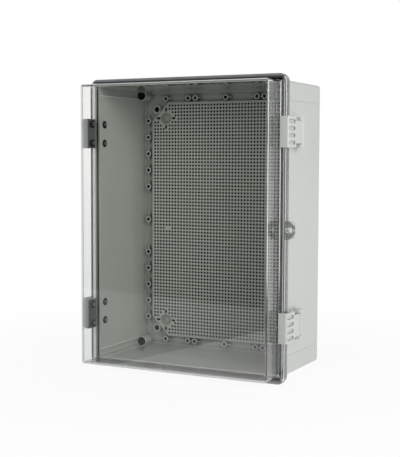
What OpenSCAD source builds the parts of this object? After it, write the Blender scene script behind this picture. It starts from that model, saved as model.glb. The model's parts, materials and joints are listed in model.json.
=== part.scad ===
// Hinged junction box: a deep plastic case with a clear cover, two hinges on the left,
// two snap latches and a padlock hasp on the right, and a mounting plate inside.
// The back of the case lies on the plane y = 0, the cover faces -Y and +Z is up.
// Depths are distances in front of the back plane, so a depth d lies at y = -d.

/* [Case] */
// Outer width of the case
case_w = 285; // [260:1:360]
// Outer height of the case
case_h = 392; // [360:1:500]
// Depth from the back of the case to the front of the cover's flange
flange_front = 141; // [125:1:220]
// Thickness of the side walls
case_wall = 3.5; // [3:0.1:5]
// Thickness of the back wall
back_wall = 4; // [3:0.1:6]
// Radius of the outer corners of the case
case_corner_r = 4; // [2:0.5:6]
// Radius of the inner corners of the case
inner_corner_r = 14; // [10:1:24]
// Distance of the fine side lines from the ends of the case
side_line_inset = 26; // [20:1:40]
// Width of the fine side lines
side_line_w = 0.8; // [0.4:0.1:1.5]
// Depth of the fine side lines
side_line_cut = 0.4; // [0.2:0.1:0.8]

/* [Wall mounting] */
// Radius of the channel that leads to each wall screw
channel_r = 6.5; // [5.5:0.5:7]
// Distance of the channel's axis from the inner walls
channel_inset = 5; // [5:0.5:8]
// Thickness of the ring that shuts each channel in near the back wall
post_wall = 1.5; // [1:0.1:3]
// Depth of the front of those rings
post_front = 24; // [14:1:40]
// Thickness of the floor under the wall screw's head
channel_floor = 2.5; // [2:0.1:3]
// Radius of the wall screw holes
wall_hole_r = 3.5; // [2.5:0.1:4]

/* [Back bosses] */
// Radius of the small bosses
boss_r = 4.4; // [3.6:0.1:5]
// Radius of the holes in the small bosses
boss_hole_r = 2.6; // [1.5:0.1:2.8]
// Height of the bosses above the back wall
boss_height = 6; // [4:0.5:8]
// Depth of the blind holes in the bosses
boss_hole_depth = 5; // [3:0.5:6]
// Pitch of the small bosses along the sides
boss_pitch = 25; // [20:1:40]
// Distance of the side bosses from the inner side walls
boss_inset_x = 9; // [8:0.5:14]
// Distance of the end bosses from the inner end walls
boss_inset_z = 9.5; // [8:0.5:14]
// Distance from the last side boss to the inner end wall
boss_end_margin = 42; // [40:1:60]
// Offset of the odd bosses in the end rows from the middle
odd_boss_x = 62; // [60:0.5:75]
// Reach of the small ribs beside each boss
boss_rib_reach = 5; // [1.5:0.1:6]
// Thickness of the small ribs
boss_rib_t = 1.2; // [0.8:0.1:2]
// Height of the small ribs above the back wall
boss_rib_height = 4.6; // [2:0.1:5.5]
// Radius of the corner bosses
corner_boss_r = 6.5; // [5.5:0.5:8]
// Radius of the holes in the corner bosses
corner_boss_hole_r = 4.2; // [2.5:0.1:4.5]
// Distance of the corner bosses from the inner side walls
corner_boss_inset_x = 24; // [20:1:30]
// Distance of the corner bosses from the inner end walls
corner_boss_inset_z = 25.5; // [22:0.5:32]

/* [Cover] */
// Height of the cover's window above the flange
cover_depth = 39; // [25:1:60]
// Wall thickness of the cover
cover_wall = 3; // [2:0.1:4]
// Distance of the window's sides inside the case's sides
cover_inset = 1.5; // [1:0.1:3]
// Radius of the window's corners
cover_corner_r = 4; // [3.5:0.5:8]
// Reach of the flange beyond the case's sides
flange_reach = 7.5; // [7:0.1:10]
// Thickness of the flange
flange_t = 3; // [2:0.1:4]
// Thickness of the skirt under the flange
skirt_t = 2.2; // [1.5:0.1:2.6]
// Drop of the skirt behind the flange
skirt_drop = 6; // [5:0.5:8]
// Radius of the flange's corners
flange_corner_r = 11; // [8:0.5:14]

/* [Rim and gasket] */
// Clearance between the skirt and the case's rim
skirt_gap = 0.6; // [0.5:0.05:1]
// Distance between the rim and the flange
rim_gap = 5.4; // [3:0.1:6]
// Depth of the rim
rim_depth = 4.1; // [3.5:0.1:6]
// Width of the gasket
gasket_w = 2.6; // [2.5:0.1:4]
// Depth of the gasket's groove
gasket_groove_depth = 2.2; // [1.5:0.1:2.5]
// Height of the gasket above the rim
gasket_stand = 1; // [0.5:0.1:1.5]
// Clearance of the gasket in its groove
gasket_fit = 0.05; // [0.02:0.01:0.1]
// Clearance between the gasket and the cover's sealing rib
gasket_gap = 0.25; // [0.2:0.05:0.4]
// Width of the cover's sealing rib
seal_rib_w = 2.2; // [1.5:0.1:2.5]

/* [Padlock hasp] */
// Reach of the hasp beyond the flange
hasp_reach = 9.2; // [9:0.1:14]
// Height of the hasp
hasp_h = 24.4; // [20:0.2:32]
// Radius of the hasp's outer corners
hasp_corner_r = 9; // [4:0.5:9]
// Thickness of the cover's ear
hasp_ear_t = 5; // [3:0.5:6]
// Thickness of the case's lug
hasp_lug_t = 4.8; // [3:0.2:7]
// Radius of the padlock hole
hasp_hole_r = 4.2; // [3:0.1:4.5]
// Extra radius of the scallop that clears the padlock at the flange's edge
hasp_relief = 0.3; // [0.2:0.1:0.6]
// Width of the ring left outside the padlock hole
hasp_ring = 2; // [1.8:0.1:4]

/* [Mounting plate] */
// Thickness of the plate
plate_t = 3; // [2:0.1:4]
// Height of the plate's feet below the plate
plate_foot = 4; // [3:0.1:6]
// Clearance between the plate and the side bosses
plate_gap_x = 3.1; // [0.5:0.1:6]
// Clearance between the plate and the end bosses
plate_gap_z = 1.1; // [0.5:0.1:6]
// Clearance between the plate's cut corners and the corner bosses
plate_corner_gap = 0.6; // [0.4:0.1:2]
// Distance of the dished feet from the plate's edges
dish_inset = 24; // [23:0.5:30]
// Radius of the dish in each foot
dish_r = 8.5; // [5:0.5:8.5]
// Wall and floor thickness of each foot
dish_wall = 1.5; // [1:0.1:2]
// Distance of the slots around each foot from its middle
slot_offset = 13; // [12.5:0.5:15]
// Width of the slots
slot_w = 3; // [2:0.1:4]
// Length of the slots
slot_l = 5.5; // [4.5:0.1:6]

/* [Hinges] */
// Distance of the hinges' middles from the ends of the case
hinge_end_inset = 68.5; // [60:0.5:100]
// Height of a hinge
hinge_h = 41; // [38:1:55]
// Distance of the hinge pin outside the flange
hinge_pin_out = 4.5; // [4.5:0.1:8]
// Distance of the hinge pin behind the skirt
hinge_pin_back = 4; // [4:0.5:6]
// Radius of the hinge pin
hinge_pin_r = 2; // [1.5:0.1:2.2]
// Radius of the knuckles
knuckle_r = 4; // [3.6:0.1:4.2]
// Height of the middle knuckle
mid_knuckle_h = 20; // [14:1:24]
// Clearance between the knuckles along the pin
knuckle_gap = 0.4; // [0.3:0.05:1]
// Clearance in front of the middle knuckle for the case leaf's web
knuckle_relief = 4.5; // [4.2:0.1:6]
// Thickness of the leaf on the case
case_leaf_t = 4.5; // [4:0.1:5]
// Reach of the leaf on the case behind the rim
case_leaf_reach = 18; // [15:0.5:30]
// Depth of the web between the case leaf and its knuckle
case_leaf_web = 13; // [10:0.5:14]
// Distance of the case leaf's screws behind the rim
case_screw_inset = 7.5; // [6:0.5:9]
// Thickness of the leaf on the cover
cover_leaf_t = 7.2; // [6:0.1:9]
// Reach of the leaf on the cover in front of the flange
cover_leaf_reach = 20.4; // [18:0.2:24]
// Depth of the cover leaf's arm in front of the flange
cover_leaf_arm = 5; // [4:0.5:8]
// Distance of the cover leaf's screws in front of the flange
cover_screw_inset = 12.5; // [9:0.5:13]
// Cut at the front edge of the cover leaf
cover_leaf_cut = 2; // [1:0.5:3]
// Distance between the two screws of a leaf
hinge_screw_span = 26.5; // [22:0.5:30]

/* [Latches] */
// Distance of the latches' middles from the ends of the case
latch_end_inset = 68; // [60:1:100]
// Height of a latch
latch_h = 40.5; // [38:0.5:52]
// Thickness of the lever
lever_t = 4; // [3.5:0.1:6]
// Reach of the lever's lip over the flange
lip_reach = 8; // [5:0.5:8]
// Thickness of the lip
lip_t = 4; // [3:0.1:6]
// Radius of the lever's front corner
lever_corner_r = 3.5; // [2:0.1:3.5]
// Clearance between the lip and the flange
lip_gap = 0.3; // [0.2:0.05:0.6]
// Clearance between the lever and the edge of the flange
lever_gap = 1; // [0.6:0.1:2]
// Distance from the flange's front to the latch pin
latch_pin_back = 44; // [38:1:60]
// Distance of the latch pin outside the flange
latch_pin_out = 2.5; // [2:0.1:3]
// Radius of the latch pin
latch_pin_r = 2; // [1.5:0.1:2.5]
// Radius of the lever's knuckle and of the bracket's ears
lever_knuckle_r = 4.5; // [4:0.1:5]
// Thickness of the bracket's ears
ear_t = 5; // [4:0.1:7]
// Clearance between the lever and the ears
ear_gap = 0.4; // [0.3:0.05:1]
// Clearance between the lever's shoulder and the ears
shoulder_gap = 18.5; // [3:0.5:24]
// Thickness of the bracket's plate
bracket_t = 3; // [2:0.1:4]
// Reach of the bracket's plate before and behind the pin
bracket_reach = 12; // [10:0.5:16]
// Distance between the two screws of a bracket
bracket_screw_span = 18; // [12:0.5:24]
// Number of finger scoops on a lever
scoop_count = 4; // [2:1:4]
// Pitch of the finger scoops
scoop_pitch = 9.2; // [8:0.1:9.6]
// Height of the finger scoops
scoop_h = 4.8; // [3:0.1:6]
// Depth of the finger scoops
scoop_cut = 1.6; // [0.8:0.1:2.2]
// Length of the finger scoops
scoop_l = 21; // [12:0.5:24]
// Distance of the finger scoops from the lever's front
scoop_inset = 0.8; // [0.4:0.1:3]

/* [Screws and fits] */
// Radius of the screws
screw_r = 1.5; // [1.2:0.1:1.8]
// Radius of the screw heads
screw_head_r = 2.4; // [2.2:0.05:3.2]
// Height of the screw heads
screw_head_h = 1.6; // [1.4:0.1:3]
// Length of the slots in the screw heads
recess_l = 3.4; // [2.4:0.1:4]
// Width of the slots in the screw heads
recess_w = 0.8; // [0.5:0.1:1]
// Depth of the slots in the screw heads
recess_d = 1; // [0.6:0.1:1.2]
// Radius of the seals under the screw heads
seal_r = 5.2; // [4:0.1:6]
// Thickness of the seals
seal_t = 1.2; // [0.8:0.1:2]
// Depth to which a screw bites into a leaf or a bracket
screw_bite = 2.5; // [2:0.1:3]
// Space beyond the tip of a screw
screw_tip_gap = 0.3; // [0.2:0.05:0.4]
// Clearance around a screw where it passes a wall or a seal
screw_pass = 0.2; // [0.1:0.05:0.4]
// Clearance around a screw in its thread
screw_fit = 0.03; // [0.01:0.01:0.06]
// Clearance around a pin that is held fast
pin_fit = 0.02; // [0.01:0.01:0.04]
// Clearance around a pin that turns
pin_run = 0.06; // [0.05:0.01:0.1]
// Clearance between parts that meet but move apart
part_gap = 0.3; // [0.25:0.05:0.5]

/* [Hidden] */
$fn = 64;

// Colours
grey = [0.80, 0.81, 0.80];
hinge_grey = [0.58, 0.59, 0.59];
plate_grey = [0.60, 0.63, 0.60];
smoke = [0.62, 0.64, 0.66, 0.35];
black = [0.06, 0.06, 0.07];
steel = [0.72, 0.72, 0.73];

// A cut runs this far past the face that it opens, and a boss this far into its wall
over = 1;
bury = 0.5;

// Depths
flange_rear = flange_front - flange_t;
skirt_rear = flange_rear - skirt_drop;
cover_front = flange_front + cover_depth;
rim_front = flange_rear - rim_gap;
rim_rear = rim_front - rim_depth;
plate_back = back_wall + plate_foot;
plate_front = plate_back + plate_t;

// Half widths and half heights
case_x = case_w / 2;
case_z = case_h / 2;
inner_x = case_x - case_wall;
inner_z = case_z - case_wall;
cover_x = case_x - cover_inset;
cover_z = case_z - cover_inset;
flange_x = case_x + flange_reach;
flange_z = case_z + flange_reach;
rim_x = flange_x - skirt_t - skirt_gap;
rim_z = flange_z - skirt_t - skirt_gap;
rim_corner_r = flange_corner_r - skirt_t - skirt_gap;
gasket_x = (rim_x + inner_x) / 2;
gasket_z = (rim_z + inner_z) / 2;
gasket_mid_r = max(rim_corner_r - (rim_x - gasket_x), gasket_w / 2 + bury);
gasket_front = rim_front + gasket_stand;
channel_x = inner_x - channel_inset;
channel_z = inner_z - channel_inset;
post_r = min(channel_r + post_wall, channel_inset + case_wall - bury);

// Bosses
boss_x = inner_x - boss_inset_x;
boss_z = inner_z - boss_inset_z;
corner_boss_x = inner_x - corner_boss_inset_x;
corner_boss_z = inner_z - corner_boss_inset_z;
boss_steps = floor((inner_z - boss_end_margin) / boss_pitch);
side_boss_heights = [for (k = [-boss_steps : boss_steps]) if (abs(k) != 1) k * boss_pitch];
end_boss_places = [
  -4 * boss_pitch, -odd_boss_x, -2 * boss_pitch, 0,
  2 * boss_pitch, odd_boss_x, 4 * boss_pitch
];
boss_top = back_wall + boss_height;

// Mounting plate
plate_x = boss_x - boss_r - plate_gap_x;
plate_z = boss_z - boss_r - plate_gap_z;
plate_cut = plate_x + plate_z - corner_boss_x - corner_boss_z
  + sqrt(2) * (corner_boss_r + plate_corner_gap);
dish_x = plate_x - dish_inset;
dish_z = plate_z - dish_inset;

// Padlock hasp
hasp_x = flange_x + hasp_reach;
hasp_hole_x = hasp_x - hasp_ring - hasp_hole_r;
hasp_ear_front = skirt_rear + hasp_ear_t;
lug_front = skirt_rear - part_gap;
lug_rear = lug_front - hasp_lug_t;

// Hinges
hinge_z = case_z - hinge_end_inset;
hinge_pin_x = -flange_x - hinge_pin_out;
hinge_pin_d = skirt_rear - hinge_pin_back;
case_leaf_front = rim_rear - part_gap;
case_leaf_x = -case_x - case_leaf_t;
case_screw_d = case_leaf_front - case_screw_inset;
cover_leaf_front = flange_front + cover_leaf_reach;
cover_leaf_x = -cover_x - cover_leaf_t;
cover_screw_d = flange_front + cover_screw_inset;
arm_out_x = hinge_pin_x - knuckle_r;
arm_in_x = hinge_pin_x + knuckle_r;
arm_front = flange_front + cover_leaf_arm;
relief_front = hinge_pin_d + knuckle_r + knuckle_relief;

// Latches
latch_z = case_z - latch_end_inset;
lever_in_x = flange_x + lever_gap;
lever_out_x = lever_in_x + lever_t;
lip_rear = flange_front + lip_gap;
lip_front = lip_rear + lip_t;
lip_x = flange_x - lip_reach;
latch_pin_x = flange_x + latch_pin_out;
latch_pin_d = flange_front - latch_pin_back;
tongue_h = latch_h - 2 * ear_t - 2 * ear_gap;
shoulder_d = latch_pin_d + lever_knuckle_r + shoulder_gap;
bracket_x = case_x + bracket_t;

// A flat profile in X and Z, drawn out between two depths
module slab(rear, front) {
  translate([0, -rear, 0])
    rotate([90, 0, 0])
      linear_extrude(front - rear)
        children();
}

// A flat profile in X and depth, drawn out along Z about a middle height
module plan(middle, height) {
  translate([0, 0, middle - height / 2])
    linear_extrude(height)
      mirror([0, 1])
        children();
}

// A cylinder along X from one place to another
module rod_x(x0, x1, depth, height, radius) {
  translate([min(x0, x1), -depth, height])
    rotate([0, 90, 0])
      cylinder(h = abs(x1 - x0), r = radius);
}

// A cylinder along Z about a middle height
module rod_z(x, depth, middle, height, radius) {
  translate([x, -depth, middle - height / 2])
    cylinder(h = height, r = radius);
}

// A box between two corners given by X, depth and Z
module block(x0, x1, rear, front, z0, z1) {
  translate([x0, -front, z0])
    cube([x1 - x0, front - rear, z1 - z0]);
}

// A rectangle with round corners, given by its half sizes
module round_rect(half_w, half_h, radius) {
  square([2 * half_w - 2 * radius, 2 * half_h], center = true);
  square([2 * half_w, 2 * half_h - 2 * radius], center = true);
  for (x = [-1, 1], y = [-1, 1])
    translate([x * (half_w - radius), y * (half_h - radius)])
      circle(radius);
}

// A ring of even width along a round-cornered rectangle
module round_ring(half_w, half_h, radius, width) {
  difference() {
    round_rect(half_w + width / 2, half_h + width / 2, radius + width / 2);
    round_rect(half_w - width / 2, half_h - width / 2, radius - width / 2);
  }
}

// The outline of the padlock hasp, from a given root to its outer edge
module hasp_outline(root_x) {
  half = hasp_h / 2;
  translate([root_x, -half])
    square([hasp_x - hasp_corner_r - root_x, hasp_h]);
  translate([root_x, -half + hasp_corner_r])
    square([hasp_x - root_x, hasp_h - 2 * hasp_corner_r]);
  for (side = [-1, 1])
    translate([hasp_x - hasp_corner_r, side * (half - hasp_corner_r)])
      circle(hasp_corner_r);
}

// The way of the padlock through the hasp, between two depths
module padlock_way(rear, front, radius) {
  slab(rear, front)
    translate([hasp_hole_x, 0])
      circle(radius);
}

// The places of the small bosses on the back wall
module at_side_bosses() {
  for (side = [-1, 1], z = side_boss_heights)
    translate([side * boss_x, z])
      children();
}

module at_end_bosses() {
  for (side = [-1, 1], x = end_boss_places)
    translate([x, side * boss_z])
      children();
}

module at_corners(x, z) {
  for (side = [-1, 1], end = [-1, 1])
    translate([side * x, end * z])
      children();
}

// Bosses, ribs and their blind holes
module bosses() {
  rib_l = 2 * (boss_r + boss_rib_reach);
  slab(back_wall - bury, back_wall + boss_rib_height) {
    at_side_bosses()
      square([boss_rib_t, rib_l], center = true);
    at_end_bosses()
      square([rib_l, boss_rib_t], center = true);
  }
  slab(back_wall - bury, boss_top) {
    at_side_bosses()
      circle(boss_r);
    at_end_bosses()
      circle(boss_r);
    at_corners(corner_boss_x, corner_boss_z)
      circle(corner_boss_r);
  }
}

module boss_holes() {
  slab(boss_top - boss_hole_depth, boss_top + over) {
    at_side_bosses()
      circle(boss_hole_r);
    at_end_bosses()
      circle(boss_hole_r);
    at_corners(corner_boss_x, corner_boss_z)
      circle(corner_boss_hole_r);
  }
}

// The two heights of a pair of screws
function pair(middle, span) = [middle - span / 2, middle + span / 2];

// The rings that shut the wall screws' channels in near the back wall
module corner_posts() {
  slab(back_wall - bury, post_front)
    at_corners(channel_x, channel_z)
      circle(post_r);
}

// The channel and the hole of each wall screw
module wall_screw_ways() {
  slab(channel_floor, rim_front + over)
    at_corners(channel_x, channel_z)
      circle(channel_r);
  slab(-over, channel_floor + over)
    at_corners(channel_x, channel_z)
      circle(wall_hole_r);
}

// The fine lines across the outer side walls
module side_lines() {
  line_z = case_z - side_line_inset;
  for (side = [-1, 1], end = [-1, 1])
    translate([side * case_x, -rim_rear / 2, end * line_z])
      cube([2 * side_line_cut, rim_rear + 2 * over, side_line_w], center = true);
}

// Holes in the case for the screws of the hinges and latches
module case_screw_holes() {
  for (end = [-1, 1]) {
    for (z = pair(end * hinge_z, hinge_screw_span))
      rod_x(-case_x - over, -inner_x + over, case_screw_d, z, screw_r + screw_pass);
    for (z = pair(end * latch_z, bracket_screw_span))
      rod_x(inner_x - over, case_x + over, latch_pin_d, z, screw_r + screw_pass);
  }
}

// Case with its rim, bosses, channels and padlock lug
module base_tub() {
  color(grey) {
    difference() {
      union() {
        difference() {
          union() {
            slab(0, rim_front)
              round_rect(case_x, case_z, case_corner_r);
            slab(rim_rear, rim_front)
              round_rect(rim_x, rim_z, rim_corner_r);
            slab(lug_rear, lug_front)
              hasp_outline(inner_x + bury);
          }
          slab(back_wall, rim_front + over)
            round_rect(inner_x, inner_z, inner_corner_r);
        }
        corner_posts();
      }
      slab(rim_front - gasket_groove_depth, rim_front + over)
        round_ring(gasket_x, gasket_z, gasket_mid_r, gasket_w + 2 * gasket_fit);
      padlock_way(lug_rear - over, lug_front + over, hasp_hole_r);
      wall_screw_ways();
      side_lines();
      case_screw_holes();
    }
    difference() {
      bosses();
      boss_holes();
    }
  }
}

// Rubber ring in the rim's groove
module gasket() {
  color(black)
    slab(rim_front - gasket_groove_depth, gasket_front)
      round_ring(gasket_x, gasket_z, gasket_mid_r, gasket_w);
}

// Plate with cut corners, dished feet and slots
module mounting_plate() {
  color(plate_grey)
    difference() {
      union() {
        slab(plate_back, plate_front)
          polygon([
            [plate_x, -plate_z + plate_cut], [plate_x, plate_z - plate_cut],
            [plate_x - plate_cut, plate_z], [-plate_x + plate_cut, plate_z],
            [-plate_x, plate_z - plate_cut], [-plate_x, -plate_z + plate_cut],
            [-plate_x + plate_cut, -plate_z], [plate_x - plate_cut, -plate_z]
          ]);
        slab(back_wall, plate_back + bury)
          at_corners(dish_x, dish_z)
            circle(dish_r + dish_wall);
      }
      slab(back_wall + dish_wall, plate_front + over)
        at_corners(dish_x, dish_z)
          circle(dish_r);
      slab(plate_back - over, plate_front + over)
        at_corners(dish_x, dish_z)
          for (turn = [0 : 90 : 270])
            rotate(turn)
              translate([slot_offset, 0])
                square([slot_l, slot_w], center = true);
    }
}

// Clear cover with its flange, skirt, sealing rib and padlock ear
module cover() {
  color(smoke) {
    slab(gasket_front + gasket_gap, flange_rear + bury)
      round_ring(gasket_x, gasket_z, gasket_mid_r, seal_rib_w);
    difference() {
      union() {
        slab(skirt_rear, flange_front)
          round_rect(flange_x, flange_z, flange_corner_r);
        slab(flange_rear, cover_front)
          round_rect(cover_x, cover_z, cover_corner_r);
        slab(skirt_rear, hasp_ear_front)
          hasp_outline(flange_x - skirt_t / 2);
      }
      slab(skirt_rear - over, flange_rear)
        round_rect(flange_x - skirt_t, flange_z - skirt_t, flange_corner_r - skirt_t);
      slab(skirt_rear - over, cover_front - cover_wall)
        round_rect(cover_x - cover_wall, cover_z - cover_wall, max(cover_corner_r - cover_wall, bury));
      padlock_way(skirt_rear - over, hasp_ear_front, hasp_hole_r);
      padlock_way(hasp_ear_front, flange_front + over, hasp_hole_r + hasp_relief);
      for (end = [-1, 1], z = pair(end * hinge_z, hinge_screw_span))
        rod_x(-cover_x - over, -cover_x + cover_wall + over, cover_screw_d, z, screw_r + screw_pass);
    }
  }
}

// Hinge leaf on the case, with the middle knuckle
module hinge_case_leaf(middle) {
  color(hinge_grey)
    difference() {
      union() {
        block(case_leaf_x, -case_x, case_leaf_front - case_leaf_reach, case_leaf_front,
          middle - hinge_h / 2, middle + hinge_h / 2);
        plan(middle, mid_knuckle_h) {
          translate([hinge_pin_x, hinge_pin_d])
            circle(knuckle_r);
          polygon([
            [case_leaf_x + bury, case_leaf_front], [case_leaf_x + bury, case_leaf_front - case_leaf_web],
            [hinge_pin_x, hinge_pin_d - knuckle_r], [hinge_pin_x, case_leaf_front]
          ]);
        }
      }
      rod_z(hinge_pin_x, hinge_pin_d, middle, mid_knuckle_h + 2 * over, hinge_pin_r + pin_fit);
      for (z = pair(middle, hinge_screw_span))
        rod_x(-case_x - screw_bite - screw_tip_gap, -case_x + over, case_screw_d, z, screw_r + screw_fit);
    }
}

// Hinge leaf on the cover, with the two outer knuckles
module hinge_cover_leaf(middle) {
  color(hinge_grey)
    difference() {
      plan(middle, hinge_h) {
        translate([hinge_pin_x, hinge_pin_d])
          circle(knuckle_r);
        polygon([
          [-cover_x, flange_front], [-cover_x, cover_leaf_front],
          [cover_leaf_x + cover_leaf_cut, cover_leaf_front],
          [cover_leaf_x, cover_leaf_front - cover_leaf_cut],
          [arm_out_x, arm_front], [arm_out_x, hinge_pin_d],
          [arm_in_x, hinge_pin_d], [arm_in_x, flange_front]
        ]);
      }
      block(arm_out_x - over, arm_in_x + over, hinge_pin_d - knuckle_r - over, relief_front,
        middle - mid_knuckle_h / 2 - knuckle_gap, middle + mid_knuckle_h / 2 + knuckle_gap);
      rod_z(hinge_pin_x, hinge_pin_d, middle, hinge_h + 2 * over, hinge_pin_r + pin_run);
      for (z = pair(middle, hinge_screw_span))
        rod_x(-cover_x - screw_bite - screw_tip_gap, -cover_x + over, cover_screw_d, z, screw_r + screw_fit);
    }
}

module hinge_pin(middle) {
  color(steel)
    rod_z(hinge_pin_x, hinge_pin_d, middle, hinge_h, hinge_pin_r);
}

// A pan head screw along X: its head stands off the wall face by a seal
module screw_x(wall_x, way, wall_t, seal, depth, height) {
  head_x = wall_x - way * seal;
  top_x = head_x - way * screw_head_h;
  difference() {
    union() {
      rod_x(top_x, head_x, depth, height, screw_head_r);
      rod_x(head_x - way * bury, wall_x + way * (wall_t + screw_bite), depth, height, screw_r);
    }
    for (turn = [0, 90])
      translate([top_x, -depth, height])
        rotate([turn, 0, 0])
          cube([2 * recess_d, recess_l, recess_w], center = true);
  }
}

module seal_x(wall_x, way, depth, height) {
  difference() {
    rod_x(wall_x - way * seal_t, wall_x, depth, height, seal_r);
    rod_x(wall_x - way * (seal_t + over), wall_x + way * over, depth, height, screw_r + screw_pass);
  }
}

module hinge_case_screws(middle) {
  color(steel)
    for (z = pair(middle, hinge_screw_span))
      screw_x(-inner_x, -1, case_wall, seal_t, case_screw_d, z);
}

module hinge_case_seals(middle) {
  color(black)
    for (z = pair(middle, hinge_screw_span))
      seal_x(-inner_x, -1, case_screw_d, z);
}

module hinge_cover_screws(middle) {
  color(steel)
    for (z = pair(middle, hinge_screw_span))
      screw_x(-cover_x + cover_wall, -1, cover_wall, seal_t, cover_screw_d, z);
}

module hinge_cover_seals(middle) {
  color(black)
    for (z = pair(middle, hinge_screw_span))
      seal_x(-cover_x + cover_wall, -1, cover_screw_d, z);
}

// Latch bracket on the case, with two ears for the pin
module latch_bracket(middle) {
  ear_middle = latch_h / 2 - ear_t / 2;
  color(grey)
    difference() {
      union() {
        block(case_x, bracket_x, latch_pin_d - bracket_reach, latch_pin_d + bracket_reach,
          middle - latch_h / 2, middle + latch_h / 2);
        for (side = [-1, 1])
          plan(middle + side * ear_middle, ear_t) {
            translate([latch_pin_x, latch_pin_d])
              circle(lever_knuckle_r);
            translate([case_x, latch_pin_d - lever_knuckle_r])
              square([latch_pin_x - case_x, 2 * lever_knuckle_r]);
          }
      }
      rod_z(latch_pin_x, latch_pin_d, middle, latch_h + 2 * over, latch_pin_r + pin_fit);
      for (z = pair(middle, bracket_screw_span))
        rod_x(case_x - over, case_x + screw_bite + screw_tip_gap, latch_pin_d, z, screw_r + screw_fit);
    }
}

// The lever's profile in X and depth, without its lip's tall part
module lever_arm() {
  translate([latch_pin_x, latch_pin_d])
    circle(lever_knuckle_r);
  translate([lever_in_x, latch_pin_d])
    square([lever_t, lip_front - lever_corner_r - latch_pin_d]);
}

// The lever's hook over the flange, with a round outer corner
module lever_hook() {
  translate([lever_in_x, shoulder_d])
    square([lever_t, lip_front - lever_corner_r - shoulder_d]);
  translate([lip_x, lip_rear])
    square([lever_out_x - lever_corner_r - lip_x, lip_t]);
  translate([lever_out_x - lever_corner_r, lip_front - lever_corner_r])
    intersection() {
      circle(lever_corner_r);
      square(lever_corner_r);
    }
}

// A long pocket with round ends in the lever's outer face
module finger_scoop(height) {
  front = lip_front - scoop_inset - scoop_h / 2;
  rear = lip_front - scoop_inset - scoop_l + scoop_h / 2;
  floor_x = lever_out_x - scoop_cut;
  for (depth = [rear, front])
    rod_x(floor_x, lever_out_x + over, depth, height, scoop_h / 2);
  block(floor_x, lever_out_x + over, rear, front, height - scoop_h / 2, height + scoop_h / 2);
}

// Latch lever with its lip, tongue and finger scoops
module latch_lever(middle) {
  first_scoop = middle - (scoop_count - 1) * scoop_pitch / 2;
  color(grey)
    difference() {
      union() {
        plan(middle, tongue_h)
          lever_arm();
        plan(middle, latch_h)
          lever_hook();
      }
      rod_z(latch_pin_x, latch_pin_d, middle, latch_h + 2 * over, latch_pin_r + pin_run);
      for (k = [0 : scoop_count - 1])
        finger_scoop(first_scoop + k * scoop_pitch);
    }
}

module latch_pin(middle) {
  color(steel)
    rod_z(latch_pin_x, latch_pin_d, middle, latch_h, latch_pin_r);
}

module latch_screws(middle) {
  color(steel)
    for (z = pair(middle, bracket_screw_span))
      screw_x(inner_x, 1, case_wall, 0, latch_pin_d, z);
}

base_tub();
gasket();
mounting_plate();
cover();
hinge_case_leaf(hinge_z);  // upper_hinge_case_leaf
hinge_cover_leaf(hinge_z);  // upper_hinge_cover_leaf
hinge_pin(hinge_z);  // upper_hinge_pin
hinge_case_screws(hinge_z);  // upper_hinge_case_screws
hinge_case_seals(hinge_z);  // upper_hinge_case_seals
hinge_cover_screws(hinge_z);  // upper_hinge_cover_screws
hinge_cover_seals(hinge_z);  // upper_hinge_cover_seals
hinge_case_leaf(-hinge_z);  // lower_hinge_case_leaf
hinge_cover_leaf(-hinge_z);  // lower_hinge_cover_leaf
hinge_pin(-hinge_z);  // lower_hinge_pin
hinge_case_screws(-hinge_z);  // lower_hinge_case_screws
hinge_case_seals(-hinge_z);  // lower_hinge_case_seals
hinge_cover_screws(-hinge_z);  // lower_hinge_cover_screws
hinge_cover_seals(-hinge_z);  // lower_hinge_cover_seals
latch_bracket(latch_z);  // upper_latch_bracket
latch_lever(latch_z);  // upper_latch_lever
latch_pin(latch_z);  // upper_latch_pin
latch_screws(latch_z);  // upper_latch_screws
latch_bracket(-latch_z);  // lower_latch_bracket
latch_lever(-latch_z);  // lower_latch_lever
latch_pin(-latch_z);  // lower_latch_pin
latch_screws(-latch_z);  // lower_latch_screws
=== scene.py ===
"""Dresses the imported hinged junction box: its clear cover, perforated plate, finishes and studio."""

import json
import math

import bmesh
import bpy
from bpy.props import FloatProperty, FloatVectorProperty, IntProperty, PointerProperty
from bpy.types import Operator, Panel, PropertyGroup
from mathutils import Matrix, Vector
from mathutils.geometry import delaunay_2d_cdt


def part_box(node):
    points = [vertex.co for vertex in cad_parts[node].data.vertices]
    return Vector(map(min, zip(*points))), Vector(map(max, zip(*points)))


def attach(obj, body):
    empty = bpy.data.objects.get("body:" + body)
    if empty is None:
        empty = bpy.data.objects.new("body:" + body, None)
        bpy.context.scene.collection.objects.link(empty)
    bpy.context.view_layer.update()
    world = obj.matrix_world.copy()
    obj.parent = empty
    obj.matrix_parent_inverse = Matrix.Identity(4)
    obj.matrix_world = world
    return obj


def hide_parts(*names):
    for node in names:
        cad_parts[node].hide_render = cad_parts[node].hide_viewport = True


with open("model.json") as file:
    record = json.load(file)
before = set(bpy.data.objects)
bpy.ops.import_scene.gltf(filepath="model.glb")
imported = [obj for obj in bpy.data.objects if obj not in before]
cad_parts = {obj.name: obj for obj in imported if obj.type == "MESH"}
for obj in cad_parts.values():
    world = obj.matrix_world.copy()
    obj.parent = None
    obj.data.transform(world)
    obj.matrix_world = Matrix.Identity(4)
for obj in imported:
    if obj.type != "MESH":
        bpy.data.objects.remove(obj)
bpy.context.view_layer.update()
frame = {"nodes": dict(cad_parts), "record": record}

bl_info = {
    "name": "Hinged Junction Box",
    "version": (1, 0, 0),
    "blender": (4, 5, 0),
    "location": "View3D > Sidebar > Junction Box",
    "description": "Builds the visual model of a hinged junction box around its packed solids",
    "category": "Object",
}

MM = 0.001
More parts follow.
